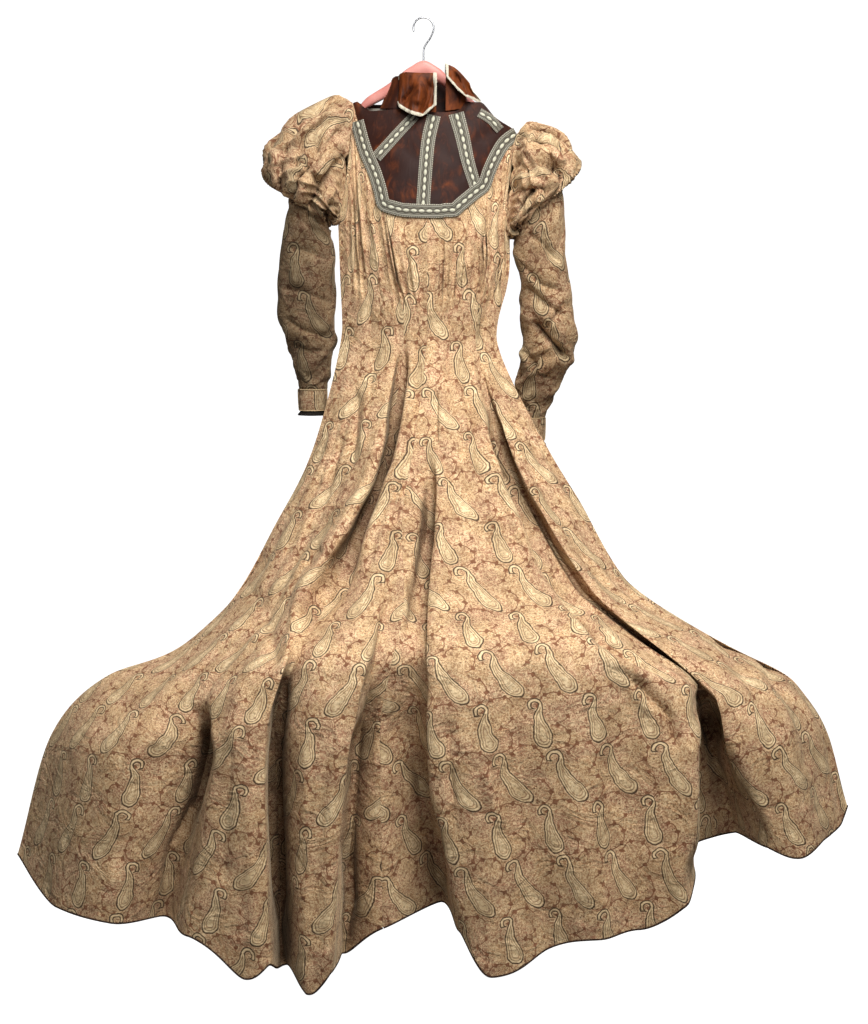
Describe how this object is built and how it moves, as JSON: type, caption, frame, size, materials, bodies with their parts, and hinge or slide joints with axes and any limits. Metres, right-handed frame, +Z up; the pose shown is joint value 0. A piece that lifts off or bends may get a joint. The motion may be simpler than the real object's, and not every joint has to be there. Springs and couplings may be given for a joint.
{
  "type": "tea gown on a hanger",
  "caption": "Long patterned gown with a flared folded skirt, gathered sleeves and a velvet yoke and collar, hung on a moulded hanger with a wire hook.",
  "frame": {"origin": "inside top of the hanger's hook, where a rail carries it", "axes": "+Z up, -Y towards the viewer of the gown's front, +X to the right of that viewer"},
  "size_m": [1.5761, 0.5971, 1.7517],
  "materials": {
    "velveteen": "matt printed pile",
    "velvet": "deep pile",
    "braid": "woven braid",
    "inner_cuff": "matt",
    "binding": "twisted cord",
    "tape": "matt",
    "hanger_plastic": "satin",
    "wire": "bright drawn wire"
  },
  "bodies": {
    "root": {"gown_front_left": "velveteen", "gown_front_right": "velveteen", "gown_back": "velveteen", "sleeve_left": "velveteen", "sleeve_right": "velveteen", "cuff_left_front": "velveteen", "cuff_left_back": "velveteen", "cuff_right_front": "velveteen", "cuff_right_back": "velveteen", "sleeve_tab_right": "velveteen", "cuff_left_inner": "inner_cuff", "cuff_right_inner": "inner_cuff", "yoke_front": "velvet", "yoke_back": "velvet", "collar_left": "velvet", "collar_right": "velvet", "collar_back": "velvet", "neckline_braid_front": "braid", "neckline_braid_back": "braid", "yoke_braid_left": "braid", "yoke_braid_centre": "braid", "yoke_braid_right": "braid", "yoke_braid_shoulder": "braid", "hem_binding_left": "binding", "hem_binding_right": "binding", "neck_tape": "tape", "hanger_body": "hanger_plastic", "hanger_hook": "wire"}
  },
  "joints": []
}
